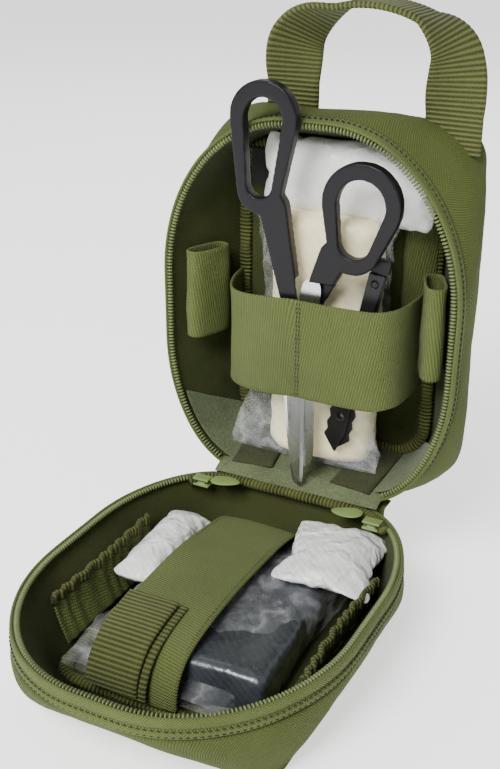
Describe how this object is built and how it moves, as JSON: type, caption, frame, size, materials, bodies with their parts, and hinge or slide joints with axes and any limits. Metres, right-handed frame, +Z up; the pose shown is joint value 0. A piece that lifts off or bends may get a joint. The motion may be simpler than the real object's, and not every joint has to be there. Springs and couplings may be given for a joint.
{
  "type": "first aid pouch",
  "caption": "Clamshell fabric pouch open on its hinge, with carrying handle, zipper, elastic straps, shears, pocket tool, bandages and a tear-away webbing back panel.",
  "frame": {"origin": "middle of the face of the front half that rests on the ground", "axes": "+Z up, out of the front half that lies on the ground; +X along the hinge; the front half lies towards -Y and the back half stands at +Y"},
  "size_m": [0.15, 0.2368, 0.2755],
  "materials": {
    "outer_fabric": "coated woven nylon",
    "lining_fabric": "woven nylon lining",
    "padding_foam": "closed-cell foam",
    "binding_tape": "ribbed binding tape",
    "zipper_tape": "woven tape",
    "zipper_coil": "nylon coil",
    "zipper_metal": "painted zinc",
    "elastic_webbing": "woven elastic",
    "load_webbing": "ribbed nylon webbing",
    "loop_fabric": "brushed loop fabric",
    "label": "woven blank label",
    "black_wrap": "vacuum-packed black film",
    "white_packet": "frosted film over gauze",
    "gauze": "rolled gauze",
    "shears_plastic": "moulded, faintly grained",
    "shears_steel": "brushed",
    "tool_steel": "black oxide",
    "snap_metal": "black enamelled brass"
  },
  "bodies": {
    "front_half": {"front_shell": "outer_fabric", "front_padding": "padding_foam", "front_lining": "lining_fabric", "front_panel": "lining_fabric", "front_binding": "binding_tape", "front_zipper_tape": "zipper_tape", "front_zipper_teeth": "zipper_coil", "front_strap": "elastic_webbing", "pull_tab_upper": "load_webbing", "pull_tab_lower": "load_webbing", "front_pocket_left": "elastic_webbing", "front_pocket_right": "elastic_webbing", "fabric_hinge": "outer_fabric", "slider_left": "zipper_metal", "slider_right": "zipper_metal", "pressure_bandage": "black_wrap"},
    "zipper_pull_left": {"zipper_pull_left": "zipper_metal"},
    "zipper_pull_right": {"zipper_pull_right": "zipper_metal"},
    "gauze_packet_left": {"gauze_packet_left": "white_packet"},
    "gauze_packet_right": {"gauze_packet_right": "white_packet"},
    "back_half": {"back_shell": "outer_fabric", "back_padding": "padding_foam", "back_lining": "lining_fabric", "back_panel": "lining_fabric", "back_binding": "binding_tape", "back_zipper_tape": "zipper_tape", "back_zipper_teeth": "zipper_coil", "floor_gusset": "loop_fabric", "gusset_strap_left": "load_webbing", "gusset_strap_right": "load_webbing", "back_strap": "elastic_webbing", "elastic_loop_left": "elastic_webbing", "elastic_loop_right": "elastic_webbing", "inner_pocket": "elastic_webbing", "blank_label": "label", "triangular_bandage": "white_packet", "gauze_roll": "gauze"},
    "carry_handle": {"carry_handle": "load_webbing"},
    "shears": {"shears_handle_long": "shears_plastic", "shears_blade_long": "shears_steel", "shears_screw": "shears_steel"},
    "shears_half": {"shears_handle_round": "shears_plastic", "shears_blade_round": "shears_steel"},
    "pocket_tool": {"tool_leaf_back": "tool_steel", "tool_pin": "tool_steel", "tool_cap": "shears_plastic"},
    "tool_leaf": {"tool_leaf_front": "tool_steel"},
    "rip_away": {"rip_away_panel": "outer_fabric", "load_webbing": "load_webbing"},
    "mounting_strap_left": {"mounting_strap_left": "load_webbing", "snap_left": "snap_metal"},
    "mounting_strap_right": {"mounting_strap_right": "load_webbing", "snap_right": "snap_metal"}
  },
  "joints": [
    {"name": "clamshell", "type": "hinge", "parent": "front_half", "child": "back_half", "pos_m": [0, 0.079, 0.042], "axis": [1, 0, 0], "range_deg": [-80, 85], "deforming": ["fabric_hinge"]},
    {"name": "zipper_pull_left", "type": "hinge", "parent": "front_half", "child": "zipper_pull_left", "pos_m": [-0.0401, 0.06459, 0.0437], "axis": [0, 1, 0], "range_deg": [-100, 0]},
    {"name": "zipper_pull_right", "type": "hinge", "parent": "front_half", "child": "zipper_pull_right", "pos_m": [0.0401, 0.06459, 0.0437], "axis": [0, -1, 0], "range_deg": [-100, 0]},
    {"name": "gauze_left_lift", "type": "slide", "parent": "front_half", "child": "gauze_packet_left", "axis": [0, 0, -1], "range_m": [-0.06, 0]},
    {"name": "gauze_right_lift", "type": "slide", "parent": "front_half", "child": "gauze_packet_right", "axis": [0, 0, -1], "range_m": [-0.06, 0]},
    {"name": "handle_fold", "type": "hinge", "parent": "back_half", "child": "carry_handle", "pos_m": [0.017, 0.112, 0.2252], "axis": [-1, 0, 0], "range_deg": [-20, 60]},
    {"name": "shears_draw", "type": "slide", "parent": "back_half", "child": "shears", "axis": [0, 0, -1], "range_m": [-0.12, 0]},
    {"name": "shears_pivot", "type": "hinge", "parent": "shears", "child": "shears_half", "pos_m": [0.001, 0.075, 0.123], "axis": [0, -1, 0], "range_deg": [-16, 0]},
    {"name": "tool_draw", "type": "slide", "parent": "back_half", "child": "pocket_tool", "axis": [0, 0, -1], "range_m": [-0.04, 0]},
    {"name": "tool_pivot", "type": "hinge", "parent": "pocket_tool", "child": "tool_leaf", "pos_m": [0.03527, 0.08005, 0.15417], "axis": [0, -1, 0], "range_deg": [-12, 0]},
    {"name": "rip_away_pull", "type": "slide", "parent": "back_half", "child": "rip_away", "axis": [0, -1, 0], "range_m": [-0.06, 0]},
    {"name": "mounting_strap_left_fold", "type": "hinge", "parent": "rip_away", "child": "mounting_strap_left", "pos_m": [-0.025, 0.1307, 0.2012], "axis": [-1, 0, 0], "range_deg": [-80, 0]},
    {"name": "mounting_strap_right_fold", "type": "hinge", "parent": "rip_away", "child": "mounting_strap_right", "pos_m": [0.035, 0.1307, 0.2012], "axis": [-1, 0, 0], "range_deg": [-80, 0]}
  ]
}
